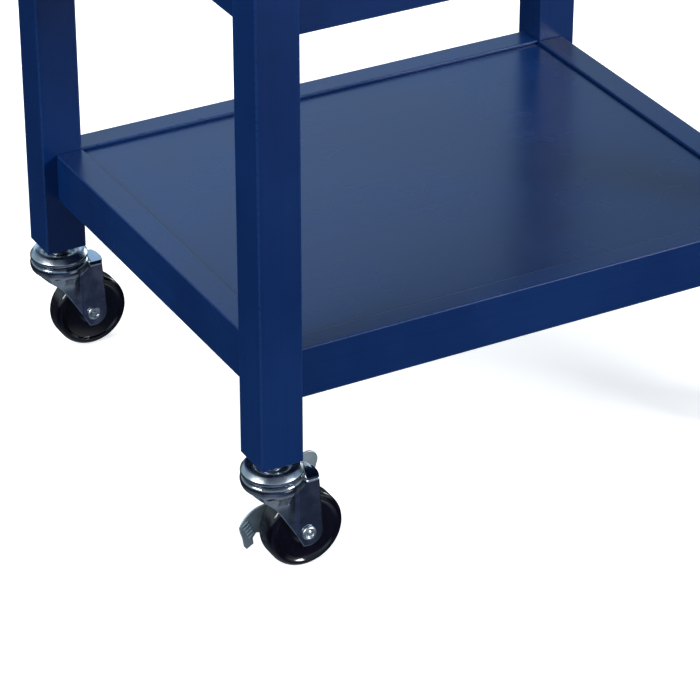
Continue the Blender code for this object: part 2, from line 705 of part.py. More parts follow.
def main():
    clear_scene()
    paint = make_material("navy_paint", (0.010, 0.030, 0.115), 0.42, 0.0)
    block_wood = make_material("butcher_block", (0.52, 0.30, 0.14), 0.45, 0.0)
    bare_wood = make_material("drawer_wood", (0.62, 0.45, 0.27), 0.60, 0.0)
    zinc = make_material("zinc_plate", (0.55, 0.60, 0.64), 0.25, 1.0)
    black = make_material("black_wheel", (0.008, 0.007, 0.012), 0.22, 0.0)
    knob_metal = make_material("brushed_nickel", (0.60, 0.58, 0.55), 0.30, 1.0)
    make_frame(paint)
    make_shelf("lower", LOWER_RAIL_BOTTOM, paint)
    make_shelf("middle", MIDDLE_RAIL_BOTTOM, paint)
    make_case(paint, bare_wood)
    make_worktop(block_wood)
    make_drawer("left", -1, paint, bare_wood, knob_metal)
    make_drawer("right", 1, paint, bare_wood, knob_metal)
    for corner, (side_x, side_y) in LEG_SIDES.items():
        make_caster(corner, side_x, side_y, zinc, black)


main()
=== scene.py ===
"""Looks of the kitchen island cart: painted boards, a block worktop, drawers and pressed casters."""

import json
import math

import bmesh
import bpy
import numpy as np
from mathutils import Matrix, Vector

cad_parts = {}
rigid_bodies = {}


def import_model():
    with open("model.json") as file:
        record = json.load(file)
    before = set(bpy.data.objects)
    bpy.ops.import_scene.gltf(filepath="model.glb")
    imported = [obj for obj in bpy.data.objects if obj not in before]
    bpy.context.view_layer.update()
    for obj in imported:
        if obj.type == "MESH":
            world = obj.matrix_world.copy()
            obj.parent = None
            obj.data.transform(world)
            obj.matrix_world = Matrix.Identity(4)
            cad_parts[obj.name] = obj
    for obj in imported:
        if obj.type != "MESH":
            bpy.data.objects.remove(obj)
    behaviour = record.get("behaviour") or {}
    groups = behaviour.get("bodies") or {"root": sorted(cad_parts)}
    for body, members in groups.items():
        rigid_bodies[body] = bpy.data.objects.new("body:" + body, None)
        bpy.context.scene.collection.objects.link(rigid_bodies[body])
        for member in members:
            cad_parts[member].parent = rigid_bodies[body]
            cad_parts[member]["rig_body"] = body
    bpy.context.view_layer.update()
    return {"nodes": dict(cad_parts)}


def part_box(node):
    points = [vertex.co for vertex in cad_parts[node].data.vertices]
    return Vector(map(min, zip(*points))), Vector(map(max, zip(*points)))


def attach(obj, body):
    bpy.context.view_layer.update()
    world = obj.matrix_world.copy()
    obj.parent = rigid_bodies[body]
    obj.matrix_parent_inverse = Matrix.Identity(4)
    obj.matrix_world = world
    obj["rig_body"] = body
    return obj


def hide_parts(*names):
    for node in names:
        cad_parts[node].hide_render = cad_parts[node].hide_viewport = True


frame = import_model()

# Shapes are made in millimetres where a piece is small, and everything ends in metres.
MILLIMETRE = 0.001
PER_METRE = 1000

# How far the boards' edges are rounded, in metres, and the gap between two touching boards.
ARRIS = 0.0013
PANEL_ARRIS = 0.0016
CLEAT_ARRIS = 0.0006
WORKTOP_ARRIS = 0.0032
SMALL_ARRIS = 0.0005
ARRIS_STEPS = 3
COPY_ARRIS_STEPS = 2
BOARD_GAP = 0.0003

# Caster shapes, in millimetres. Drops are measured down from the leg, radii from the turning axis.
# The stem: stud, nut and its flange, then the race's dish, crest and rolled rim, and the kingpin.
STUD_RADIUS, STUD_LENGTH = 4.5, 30.0
NUT_RADIUS, NUT_HEIGHT = 9.0, 9.6
FLANGE_RADIUS, FLANGE_DROP = 11.9, 12.2
DISH_RADIUS, CREST_RADIUS, CREST_DROP = 14.0, 22.2, 6.3
CREST_ROLL = 5.5
RACE_RADIUS, RIM_ROLL, RIM_DROP, RACE_BOTTOM = 29.0, 2.4, 12.4, 15.2
KINGPIN_RADIUS, RIVET_RADIUS, RIVET_DROP = 5.0, 8.0, 2.2
# The fork's crown, as (radius, drop) below its shoulder.
CROWN_RADIUS, CROWN_TOP, CROWN_BOTTOM = 29.4, 16.2, 37.8
SHOULDER = 4.6
BOWL = ((29.4, 22.0), (28.2, 27.0), (17.0, 36.6), (5.3, 37.8))
# The fork's sheet: its top, thickness, half width and the bend between top and arms.
FORK_TOP = 24.8
SHEET = 2.0
FORK_OUTER = 15.5
BEND = 2.8
# Ahead of the crease the arms are set in a little, and drape outwards into the crown.
CREASE, CREASE_WIDTH, CREASE_DEPTH = 16.0, 3.0, 1.3
DRAPE, DRAPE_WIDTH, DRAPE_START = 9.0, 9.0, 52.0
WEB_FRONT, WEB_DROP = -13.2, 10.7
ARM_END_RADIUS, ARM_BACK = 15.0, 11.6
# The bridge between the arms, bowed away from the swivel axis.
BRIDGE_BOW_RADIUS, BRIDGE_BOW_BACK = 29.8, 14.2
BRIDGE_HALF_WIDTH, BRIDGE_FRONT = 12.5, 15.0
# The axle bolt and the wheel, and the play between turning parts.
AXLE_RADIUS = 4.0
AXLE_NUT_RADIUS = 7.1
WHEEL_HALF_WIDTH = 11.8
TREAD_ROLL, TREAD_FLAT = 5.0, 7.0
PLAY = 0.3

# The grip ribs on the brake pedal, in millimetres from the axle.
RIB_COUNT = 5
RIB_START = (-48.3, 5.6)
RIB_PITCH = (1.6, -3.4)
RIB_ALONG = (0.80, 0.60)
RIB_HALF_LENGTH, RIB_RADIUS = 3.0, 0.75

# How finely the turned and the sampled shapes are made.
SWEEP_SEGMENTS = 96
WHEEL_SEGMENTS = 128
AXLE_SEGMENTS = 64
FORK_STEP = 0.5
LEVER_STEP = 0.4

# The butcher block's staves, in metres.
STAVE_WIDTH = 0.0418
STAVE_LENGTH = 0.46
GLUE_LINE = 0.0006

# The studio room that reflections see: upward part of the direction, and the light from there.
ROOM_LIGHT = (
    (-1.00, (0.34, 0.38, 0.42)),
    (-0.80, (0.14, 0.17, 0.21)),
    (-0.64, (0.040, 0.048, 0.064)),
    (-0.50, (0.020, 0.022, 0.030)),
    (-0.05, (0.030, 0.034, 0.042)),
    (0.18, (0.50, 0.64, 0.68)),
    (0.50, (0.14, 0.23, 0.32)),
    (0.74, (0.12, 0.14, 0.16)),
    (0.90, (0.05, 0.055, 0.075)),
)
# Soft glows in that room: direction, the cosine where each begins and is full, and its light.
GLOWS = (
    ((-0.10, -0.86, -0.50), 0.76, 1.0, (0.035, 0.050, 0.110)),
    ((0.451, -0.858, -0.242), 0.970, 0.995, (0.54, 0.52, 0.56)),
    ((0.287, 0.882, 0.375), 0.935, 0.990, (0.48, 0.68, 0.92)),
)

# Soft lights: place, what each faces, its size in metres, its power in watts, and if metal mirrors it.
SOFT_LIGHTS = {
    "key_softbox": ((2.4, -3.2, 1.7), (0, 0, 0.3), (1.4, 1.0), 114.0, True),
    "window": ((3.4, 2.1, 0.55), (0, 0, 0.2), (0.9, 0.8), 14.0, True),
    "fill_softbox": ((-3.0, -0.6, 1.8), (0, 0, 0.3), (1.6, 1.2), 60.0, True),
    "top_softbox": ((0.2, 0.2, 3.6), (0.1, 0, 0.3), (3.0, 3.0), 25.0, False),
    "back_softbox": ((0.2, 2.4, 2.7), (0, 0, 0.25), (1.8, 1.2), 36.0, False),
}
BACKDROP = (0.98, 0.98, 0.98, 1.0)
FLOOR_HALF_SIZE = 14.0

# The camera, fitted to the edges of the legs, rails, panel and wheels. Millimetres, degrees and metres.
LENS, SENSOR_WIDTH = 169.56, 36.0
CAMERA_YAW, CAMERA_PITCH = 28.687, 30.085
CAMERA_PLACE = (-1.42358, -2.45898, 1.67816)
CAMERA_FAR = 60.0

# Sockets of Blender's Mix node when it mixes colours.
MIX_SHARE, MIX_FIRST, MIX_SECOND, MIX_COLOUR = 0, 6, 7, 2

CORNERS = ("front_left", "front_right", "back_left", "back_right")
BRAKED = ("front_left", "front_right")


# ---------------------------------------------------------------- meshes


def new_object(name, mesh):
    """A scene object for a mesh."""
    made = bpy.data.objects.new(name, mesh)
    bpy.context.scene.collection.objects.link(made)
    return made


def coordinates(mesh):
    """A mesh's points, one row each."""
    flat = np.empty(len(mesh.vertices) * 3, np.float32)
    mesh.vertices.foreach_get("co", flat)
    return flat.reshape(-1, 3)


def write_vectors(mesh, name, values):
    """Stores one vector a point, for the materials to read by name."""
    layer = mesh.attributes.new(name, "FLOAT_VECTOR", "POINT")
    layer.data.foreach_set("vector", np.ascontiguousarray(values, np.float32).ravel())


def shift_of(name):
    """A steady offset in the grain for each piece, so that no two boards match."""
    seed = sum(ord(letter) * (place + 1) for place, letter in enumerate(name))
    return np.random.default_rng(seed).uniform(-4.0, 4.0, 3)


def mark_board(mesh, name):
    """Stores the grain's own coordinates and each point's distance from the board's faces."""
    points = coordinates(mesh)
    low, high = points.min(0), points.max(0)
    order = np.argsort(low - high, kind="stable")
    write_vectors(mesh, "grain", points[:, order] + shift_of(name))
    write_vectors(mesh, "from_low", points - low)
    write_vectors(mesh, "from_high", high - points)


def smooth_flat(made):
    """Smooth shading that keeps the large faces flat."""
    made.data.shade_smooth()
    weighted = made.modifiers.new("weighted normals", "WEIGHTED_NORMAL")
    weighted.weight = 100
    weighted.keep_sharp = True
    return made


def rounded_board(node, low, high, radius, material, slot):
    """A board with rounded arrises that stands for a CAD board."""
    bm = bmesh.new()
    place = Matrix.Translation((low + high) / 2) @ Matrix.Diagonal((*(high - low), 1.0))
    bmesh.ops.create_cube(bm, size=1.0, matrix=place)
    finish_board(node, bm, radius, ARRIS_STEPS, material)


def rounded_copy(node, radius, material):
    """A copy of a CAD board that isn't a plain box, with its arrises eased."""
    bm = bmesh.new()
    bm.from_mesh(frame["nodes"][node].data)
    bmesh.ops.remove_doubles(bm, verts=bm.verts, dist=1e-5)
    bmesh.ops.dissolve_limit(bm, angle_limit=math.radians(1), verts=bm.verts, edges=bm.edges)
    finish_board(node, bm, radius, COPY_ARRIS_STEPS, material)


def finish_board(node, bm, radius, steps, material):
    """Rounds a board's edges, then gives it its material and body."""
    edges = list(bm.edges)
    bmesh.ops.bevel(
        bm, geom=edges, offset=radius, segments=steps, profile=0.5, affect="EDGES", clamp_overlap=True
    )
    mesh = bpy.data.meshes.new(f"{node}_look")
    bm.to_mesh(mesh)
    bm.free()
    mesh.materials.append(material)
    mark_board(mesh, node)
    made = smooth_flat(new_object(f"{node}_look", mesh))
    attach(made, frame["nodes"][node]["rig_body"])
    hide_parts(node)


def rounded_profile(points, radius, steps=3):
    """A polyline whose corners are eased by short curves."""
    eased = [points[0]]
    for before, corner, after in zip(points, points[1:], points[2:]):
        corner = Vector(corner)
        back = Vector(before) - corner
        forth = Vector(after) - corner
        reach = min(radius, back.length * 0.45, forth.length * 0.45)
        start = corner + back.normalized() * reach
        end = corner + forth.normalized() * reach
        for step in range(steps + 1):
            t = step / steps
            eased.append(tuple(start * (1 - t) ** 2 + corner * 2 * t * (1 - t) + end * t * t))
    eased.append(points[-1])
    return eased


def arc(centre, radius, start, end, steps, second=None):
    """Points on a circle from one angle to another, or on an ellipse with a second radius."""
    second = radius if second is None else second
    turns = np.radians(np.linspace(start, end, steps + 1))
    return [(centre[0] + radius * math.cos(a), centre[1] + second * math.sin(a)) for a in turns]


def lathe(name, profile, segments=SWEEP_SEGMENTS):
    """A turned mesh about Z from (radius, height) points in millimetres. Points may lie on the axis."""
    turns = np.linspace(0, math.tau, segments, endpoint=False)
    verts, rings = [], []
    for radius, height in profile:
        if radius < 1e-6:
            rings.append([len(verts)] * segments)
            verts.append((0.0, 0.0, height))
        else:
            rings.append(list(range(len(verts), len(verts) + segments)))
            verts.extend((radius * math.cos(a), radius * math.sin(a), height) for a in turns)
    faces = []
    for upper, lower in zip(rings, rings[1:]):
        for index in range(segments):
            after = (index + 1) % segments
            corners = [upper[index], lower[index], lower[after], upper[after]]
            face = list(dict.fromkeys(corners))
            if len(face) > 2:
                faces.append(face)
    mesh = bpy.data.meshes.new(name)
    mesh.from_pydata(verts, [], faces)
    return mesh


def polygon_distance(outline, x, y):
    """Signed distance to a closed outline, below zero inside."""
    nearest = np.full(x.shape, 1e9)
    inside = np.zeros(x.shape, bool)
    for (ax, ay), (bx, by) in zip(outline, outline[1:] + outline[:1]):
        ex, ey = bx - ax, by - ay
        px, py = x - ax, y - ay
        t = np.clip((px * ex + py * ey) / (ex * ex + ey * ey + 1e-12), 0, 1)
        nearest = np.minimum(nearest, (px - t * ex) ** 2 + (py - t * ey) ** 2)
        if ay != by:
            inside ^= ((ay > y) != (by > y)) & (x < ex * (y - ay) / ey + ax)
    return np.where(inside, -1.0, 1.0) * np.sqrt(nearest)


def ease(share):
    """A soft step from 0 to 1."""
    share = np.clip(share, 0, 1)
    return share * share * (3 - 2 * share)


def smooth_union(a, b, reach):
    """Joins two distance fields with a fillet."""
    blend = np.maximum(reach - np.abs(a - b), 0) / reach
    return np.minimum(a, b) - blend * blend * reach / 4


def smooth_cut(a, b, reach):
    """Keeps what two distance fields share, with eased edges."""
    return -smooth_union(-a, -b, reach)


def skin(name, field, low, step):
    """The zero surface of a sampled distance field as a mesh of quads, one point in each crossed cell."""
    inside = field < 0
    cells_shape = tuple(n - 1 for n in field.shape)
    corners = [(i, j, k) for i in (0, 1) for j in (0, 1) for k in (0, 1)]
    count = np.zeros(cells_shape, np.int8)
    for i, j, k in corners:
        count += inside[i : i + cells_shape[0], j : j + cells_shape[1], k : k + cells_shape[2]]
    active = (count > 0) & (count < 8)
    cells = np.argwhere(active)
    index = np.full(cells_shape, -1, np.int64)
    index[active] = np.arange(len(cells))
    total = np.zeros((len(cells), 3))
    hits = np.zeros(len(cells))
    for a in corners:
        for axis in range(3):
            if a[axis]:
                continue
            b = tuple(1 if n == axis else a[n] for n in range(3))
            fa = field[tuple((cells + a).T)]
            fb = field[tuple((cells + b).T)]
            crossed = (fa < 0) != (fb < 0)
            share = fa[crossed] / (fa[crossed] - fb[crossed])
            total[crossed] += np.array(a) + share[:, None] * (np.array(b) - np.array(a))
            hits[crossed] += 1
    verts = low + step * (cells + total / hits[:, None])
    quads = []
    for axis in range(3):
        u, v = (axis + 1) % 3, (axis + 2) % 3
        first = np.moveaxis(inside, (axis, u, v), (0, 1, 2))
        numbers = np.moveaxis(index, (axis, u, v), (0, 1, 2))
        changed = first[:-1, 1:-1, 1:-1] != first[1:, 1:-1, 1:-1]
        i, j, k = np.nonzero(changed)
        near = (numbers[i, j, k], numbers[i, j + 1, k], numbers[i, j + 1, k + 1], numbers[i, j, k + 1])
        quad = np.stack(near, 1)
        outward = first[:-1, 1:-1, 1:-1][i, j, k]
        quad[~outward] = quad[~outward][:, ::-1]
        quads.append(quad)
    mesh = bpy.data.meshes.new(name)
    mesh.from_pydata(verts.tolist(), [], np.concatenate(quads).tolist())
    return mesh


def grid(low, high, step):
    """The three axes of a sampling grid, as column, row and depth arrays."""
    axes = [np.arange(a, b + step, step) for a, b in zip(low, high)]
    return axes[0][:, None, None], axes[1][None, :, None], axes[2][None, None, :]


def middle_of(node):
    """The middle of a CAD node's box."""
    low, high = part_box(node)
    return (low + high) / 2


def place_piece(node, shape, matrix, material, sharp=None):
    """Puts a copy of a small shape where a CAD node is, and stores the shape's own coordinates."""
    mesh = shape.copy()
    mesh.transform(Matrix.Scale(MILLIMETRE, 4))
    write_vectors(mesh, "own", coordinates(mesh))
    mesh.transform(matrix)
    mesh.materials.append(material)
    mesh.shade_smooth()
    if sharp is not None:
        mesh.set_sharp_from_angle(angle=math.radians(sharp))
    made = new_object(f"{node}_look", mesh)
    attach(made, frame["nodes"][node]["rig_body"])
    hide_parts(node)


# ---------------------------------------------------------------- materials


class Finish:
    """A material's node tree, with short calls for the nodes that these finishes share."""

    def __init__(self, name, **settings):
        self.material = bpy.data.materials.new(name)
        self.material.use_nodes = True
        self.tree = self.material.node_tree
        self.shader = self.tree.nodes["Principled BSDF"]
        for label, value in settings.items():
            self.shader.inputs[label.replace("_", " ")].default_value = value

    def put(self, socket, value):
        """Links a socket to another, or sets its value."""
        if isinstance(value, bpy.types.NodeSocket):
            self.tree.links.new(value, socket)
        else:
            socket.default_value = value

    def vector(self, name):
        """A vector that the mesh stores under a name."""
        node = self.tree.nodes.new("ShaderNodeAttribute")
        node.attribute_name = name
        return node.outputs["Vector"]

    def stretch(self, vector, scale):
        """A vector scaled along each axis."""
        node = self.tree.nodes.new("ShaderNodeMapping")
        self.put(node.inputs["Vector"], vector)
        node.inputs["Scale"].default_value = scale
        return node.outputs["Vector"]

    def noise(self, vector, scale=1.0, detail=2.0, roughness=0.5):
        node = self.tree.nodes.new("ShaderNodeTexNoise")
        self.put(node.inputs["Vector"], vector)
        node.inputs["Scale"].default_value = scale
        node.inputs["Detail"].default_value = detail
        node.inputs["Roughness"].default_value = roughness
        return node.outputs["Fac"]

    def math(self, operation, first, second=0.0):
        node = self.tree.nodes.new("ShaderNodeMath")
        node.operation = operation
        for socket, value in zip(node.inputs, (first, second)):
            self.put(socket, value)
        return node.outputs[0]

    def split(self, vector):
        node = self.tree.nodes.new("ShaderNodeSeparateXYZ")
        self.put(node.inputs[0], vector)
        return node.outputs

    def join(self, x, y, z):
        node = self.tree.nodes.new("ShaderNodeCombineXYZ")
        for socket, value in zip(node.inputs, (x, y, z)):
            self.put(socket, value)
        return node.outputs[0]

    def vector_math(self, operation, first, second):
        node = self.tree.nodes.new("ShaderNodeVectorMath")
        node.operation = operation
        self.put(node.inputs[0], first)
        self.put(node.inputs[1], second)
        return node.outputs["Vector"]

    def span(self, value, low, high, to_low=0.0, to_high=1.0):
        """Maps low..high to to_low..to_high with soft ends."""
        node = self.tree.nodes.new("ShaderNodeMapRange")
        node.interpolation_type = "SMOOTHSTEP"
        self.put(node.inputs["Value"], value)
        limits = {"From Min": low, "From Max": high, "To Min": to_low, "To Max": to_high}
        for label, number in limits.items():
            node.inputs[label].default_value = number
        return node.outputs["Result"]

    def mix(self, share, first, second):
        """The first colour, turning into the second as share rises."""
        node = self.tree.nodes.new("ShaderNodeMix")
        node.data_type = "RGBA"
        self.put(node.inputs[MIX_SHARE], share)
        self.put(node.inputs[MIX_FIRST], first)
        self.put(node.inputs[MIX_SECOND], second)
        return node.outputs[MIX_COLOUR]

    def random(self, vector):
        """A value from 0 to 1 that is steady for each vector."""
        node = self.tree.nodes.new("ShaderNodeTexWhiteNoise")
        self.put(node.inputs["Vector"], vector)
        return node.outputs["Value"]

    def bump(self, height, distance, strength):
        """Turns a height into a normal, and sets it on the shader."""
        node = self.tree.nodes.new("ShaderNodeBump")
        node.inputs["Strength"].default_value = strength
        node.inputs["Distance"].default_value = distance
        self.put(node.inputs["Height"], height)
        self.set("Normal", node.outputs["Normal"])

    def blend(self, first, first_share, second, second_share=1.0):
        """The sum of two values, each times its share."""
        scaled = self.math("MULTIPLY", first, first_share)
        if second_share != 1.0:
            second = self.math("MULTIPLY", second, second_share)
        return self.math("ADD", scaled, second)

    def inset(self):
        """How far a point of a board is from the nearer face, along each axis."""
        low, high = self.vector("from_low"), self.vector("from_high")
        return self.split(self.vector_math("MINIMUM", low, high))

    def turned(self, own):
        """The radius and height of a point of a turned piece."""
        x, y, z = self.split(own)
        square = self.math("ADD", self.math("MULTIPLY", x, x), self.math("MULTIPLY", y, y))
        return self.math("SQRT", square), z

    def arris(self, width):
        """One at a board's arrises, falling to zero at width from them."""
        x, y, z = self.inset()
        smaller = self.math("MINIMUM", x, y)
        larger = self.math("MAXIMUM", x, y)
        middle = self.math("MAXIMUM", smaller, self.math("MINIMUM", larger, z))
        return self.span(middle, 0.0, width, 1.0, 0.0)

    def set(self, label, value):
        """Sets or links one of the shader's inputs."""
        self.put(self.shader.inputs[label], value)


def rgb(red, green, blue):
    """A colour from its display values, 0 to 255."""
    parts = [value / 255 for value in (red, green, blue)]
    linear = [c / 12.92 if c <= 0.04045 else ((c + 0.055) / 1.055) ** 2.4 for c in parts]
    return (*linear, 1.0)


def painted(name, shade_sides):
    """Satin navy lacquer sprayed over wood: faint grain, orange peel, and lighter arrises, partly paint
    worn thin and partly a painted highlight.

    A let-in board also gets painted shade along its sides, a dark line where it meets the rails.
    """
    paint = Finish(name, Specular_IOR_Level=0.36)
    grain = paint.vector("grain")
    fibre = paint.noise(paint.stretch(grain, (5.0, 260.0, 260.0)), detail=4.0, roughness=0.6)
    pores = paint.noise(paint.stretch(grain, (22.0, 900.0, 900.0)), detail=2.0)
    peel = paint.noise(grain, 620.0, 1.0)
    cloud = paint.noise(grain, 7.0, 3.0, 0.6)
    speck = paint.noise(grain, 240.0, 2.0)
    body = paint.mix(paint.span(cloud, 0.3, 0.7), rgb(9, 44, 98), rgb(14, 51, 108))
    body = paint.mix(paint.span(fibre, 0.35, 0.75, 0.0, 0.24), body, rgb(6, 35, 82))
    body = paint.mix(paint.span(speck, 0.62, 0.78, 0.0, 0.25), body, rgb(24, 60, 114))
    # Lighter, rougher arrises: partly paint worn thin, partly a painted highlight along the edges.
    arris_wear_and_highlight = paint.math("MULTIPLY", paint.arris(0.0022), paint.span(speck, 0.25, 0.6, 0.35, 1.0))
    body = paint.mix(paint.math("MULTIPLY", arris_wear_and_highlight, 0.45), body, rgb(42, 78, 140))
    if shade_sides:
        x, y, _ = paint.inset()
        # Painted shade: the paint darkens within a few millimetres of the panel's sides, standing in for
        # the shadow where the rails meet it.
        side = paint.span(paint.math("MINIMUM", x, y), 0.0006, 0.0034, 0.62, 0.0)
        body = paint.mix(side, body, rgb(4, 18, 44))
    paint.set("Base Color", body)
    rough = paint.span(cloud, 0.25, 0.75, 0.23, 0.30)
    paint.set("Roughness", paint.blend(arris_wear_and_highlight, 0.10, rough))
    height = paint.blend(fibre, 0.6, pores, 0.25)
    paint.bump(paint.blend(peel, 0.35, height), 0.00018, 0.45)
    return paint.material


def bare_wood(name, light, dark, streak, roughness):
    """Planed light wood with long grain, fine pores and rubbed arrises."""
    wood = Finish(name, Specular_IOR_Level=0.35)
    grain = wood.vector("grain")
    wander = wood.noise(wood.stretch(grain, (1.6, 14.0, 14.0)), detail=2.0)
    warped = wood.vector_math("ADD", grain, wood.join(0.0, wood.math("MULTIPLY", wander, 0.05), 0.0))
    rings = wood.noise(wood.stretch(warped, (1.3, 95.0, 95.0)), detail=5.0, roughness=0.62)
    fibre = wood.noise(wood.stretch(grain, (16.0, 1500.0, 1500.0)), detail=2.0)
    cloud = wood.noise(grain, 5.0, 3.0)
    body = wood.mix(wood.span(rings, 0.32, 0.68), dark, light)
    body = wood.mix(wood.span(fibre, 0.55, 0.8, 0.0, 0.4), body, streak)
    body = wood.mix(wood.span(cloud, 0.3, 0.7, 0.0, 0.25), body, dark)
    body = wood.mix(wood.math("MULTIPLY", wood.arris(0.0016), 0.30), body, dark)
    wood.set("Base Color", body)
    wood.set("Roughness", wood.span(rings, 0.3, 0.7, roughness + 0.08, roughness - 0.06))
    wood.bump(wood.blend(rings, 0.5, fibre, 0.5), 0.00025, 0.5)
    return wood.material


def block_wood():
    """An oiled butcher block: glued staves of random tone with fine glue lines."""
    wood = Finish("oiled_block", Specular_IOR_Level=0.45, Coat_Weight=0.12, Coat_Roughness=0.25)
    grain = wood.vector("grain")
    along, across, _ = wood.split(grain)
    row = wood.math("FLOOR", wood.math("DIVIDE", across, STAVE_WIDTH))
    row_shift = wood.math("MULTIPLY", wood.random(wood.join(row, 3.0, 0.0)), STAVE_LENGTH)
    shifted = wood.math("ADD", along, row_shift)
    column = wood.math("FLOOR", wood.math("DIVIDE", shifted, STAVE_LENGTH))
    tone = wood.random(wood.join(row, column, 7.0))
    turn = wood.random(wood.join(column, row, 19.0))
    slide = wood.join(wood.math("MULTIPLY", tone, 30.0), wood.math("MULTIPLY", turn, 17.0), tone)
    own = wood.vector_math("ADD", grain, slide)
    wander = wood.noise(wood.stretch(own, (2.0, 20.0, 20.0)), detail=2.0)
    warped = wood.vector_math("ADD", own, wood.join(0.0, wood.math("MULTIPLY", wander, 0.03), 0.0))
    rings = wood.noise(wood.stretch(warped, (2.2, 150.0, 150.0)), detail=5.0, roughness=0.6)
    pores = wood.noise(wood.stretch(own, (40.0, 2200.0, 2200.0)), detail=2.0)
    light = wood.mix(tone, rgb(206, 158, 104), rgb(178, 122, 72))
    dark = wood.mix(turn, rgb(150, 98, 56), rgb(166, 112, 66))
    body = wood.mix(wood.span(rings, 0.34, 0.66), dark, light)
    body = wood.mix(wood.span(pores, 0.58, 0.8, 0.0, 0.5), body, rgb(104, 62, 34))
    in_row = wood.math("SUBTRACT", wood.math("DIVIDE", across, STAVE_WIDTH), row)
    in_column = wood.math("SUBTRACT", wood.math("DIVIDE", shifted, STAVE_LENGTH), column)
    side_gap = wood.math("ABSOLUTE", wood.math("SUBTRACT", in_row, 0.5))
    end_gap = wood.math("ABSOLUTE", wood.math("SUBTRACT", in_column, 0.5))
    side_line = wood.span(side_gap, 0.5 - GLUE_LINE / STAVE_WIDTH, 0.5)
    end_line = wood.span(end_gap, 0.5 - GLUE_LINE / STAVE_LENGTH, 0.5)
    line = wood.math("MAXIMUM", side_line, end_line)
    body = wood.mix(wood.math("MULTIPLY", line, 0.75), body, rgb(86, 50, 28))
    body = wood.mix(wood.math("MULTIPLY", wood.arris(0.004), 0.25), body, rgb(214, 170, 118))
    wood.set("Base Color", body)
    rubbed = wood.noise(grain, 9.0, 3.0)
    wood.set("Roughness", wood.span(rubbed, 0.3, 0.7, 0.36, 0.52))
    height = wood.blend(rings, 0.35, pores, 0.45)
    wood.bump(wood.math("SUBTRACT", height, wood.math("MULTIPLY", line, 0.9)), 0.0003, 0.5)
    return wood.material


def plated(name, dark, light, roughness, coat, streaks, metallic=1.0):
    """Zinc-plated pressed steel: a bluish film that varies, fine rolling streaks and small dents."""
    metal = Finish(name, Metallic=metallic, Coat_Weight=coat, Coat_Roughness=0.06, Coat_IOR=1.7)
    own = metal.vector("own")
    cloud = metal.noise(own, 55.0, 3.0, 0.55)
    fine = metal.noise(metal.stretch(own, (900.0, 900.0, 90.0)), detail=3.0)
    speck = metal.noise(own, 900.0, 2.0)
    body = metal.mix(metal.span(cloud, 0.3, 0.7), dark, light)
    body = metal.mix(metal.span(speck, 0.6, 0.8, 0.0, 0.25), body, rgb(150, 160, 178))
    metal.set("Base Color", body)
    rough = metal.span(cloud, 0.25, 0.75, roughness - 0.05, roughness + 0.07)
    metal.set("Roughness", metal.blend(speck, 0.05, rough))
    metal.bump(metal.blend(fine, streaks, cloud, 1.5), 0.00012, 0.5)
    return metal.material


def moulded_black():
    """Glossy black moulded wheel: a dusty tread, faint swirl and handling scuffs."""
    black = Finish("moulded_black", Specular_IOR_Level=0.5, Coat_Weight=0.4, Coat_Roughness=0.05)
    own = black.vector("own")
    radius, z = black.turned(own)
    tread = black.span(radius, 0.0372, 0.0380)
    scuff = black.noise(black.stretch(own, (260.0, 260.0, 90.0)), detail=4.0, roughness=0.65)
    swirl = black.noise(black.join(black.math("MULTIPLY", radius, 1400.0), z, 0.0), detail=2.0)
    dust = black.math("MULTIPLY", tread, black.span(scuff, 0.35, 0.7, 0.15, 0.9))
    body = black.mix(black.span(scuff, 0.3, 0.75), rgb(5, 3, 16), rgb(12, 9, 24))
    body = black.mix(dust, body, rgb(24, 23, 33))
    black.set("Base Color", body)
    worn = black.span(scuff, 0.5, 0.75, 0.10, 0.24)
    black.set("Roughness", black.blend(tread, 0.10, worn))
    black.bump(black.blend(scuff, 0.4, swirl, 0.25), 0.00010, 0.5)
    return black.material


def brushed_nickel():
    """Satin nickel with turning marks round the knob."""
    nickel = Finish("satin_nickel", Metallic=1.0)
    own = nickel.vector("own")
    radius, z = nickel.turned(own)
    marks = nickel.join(nickel.math("MULTIPLY", radius, 5200.0), nickel.math("MULTIPLY", z, 5200.0), 0.0)
    turning = nickel.noise(marks, detail=2.0)
    cloud = nickel.noise(own, 90.0, 2.0)
    tone = nickel.span(cloud, 0.3, 0.7)
    nickel.set("Base Color", nickel.mix(tone, rgb(176, 170, 162), rgb(200, 195, 188)))
    nickel.set("Roughness", nickel.span(turning, 0.3, 0.7, 0.24, 0.36))
    nickel.bump(turning, 0.00008, 0.4)
    return nickel.material


def floor_material():
    """A plain pale studio floor."""
    pale = Finish("pale_floor", Roughness=0.9, Specular_IOR_Level=0.1)
    place = pale.tree.nodes.new("ShaderNodeNewGeometry").outputs["Position"]
    cloud = pale.noise(place, 3.0, 3.0)
    pale.set("Base Color", pale.mix(cloud, (0.90, 0.90, 0.90, 1.0), (0.93, 0.93, 0.93, 1.0)))
    pale.set("Emission Color", (1.0, 1.0, 1.0, 1.0))
    pale.set("Emission Strength", 0.7)
    return pale.material


# ---------------------------------------------------------------- wooden parts


def between(node, first, second, axis):
    """A rail's box cut back to the space between two legs' inner faces, where its tenons start."""
    low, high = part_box(node)
    low[axis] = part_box(first)[1][axis] + BOARD_GAP
    high[axis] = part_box(second)[0][axis] - BOARD_GAP
    return low, high


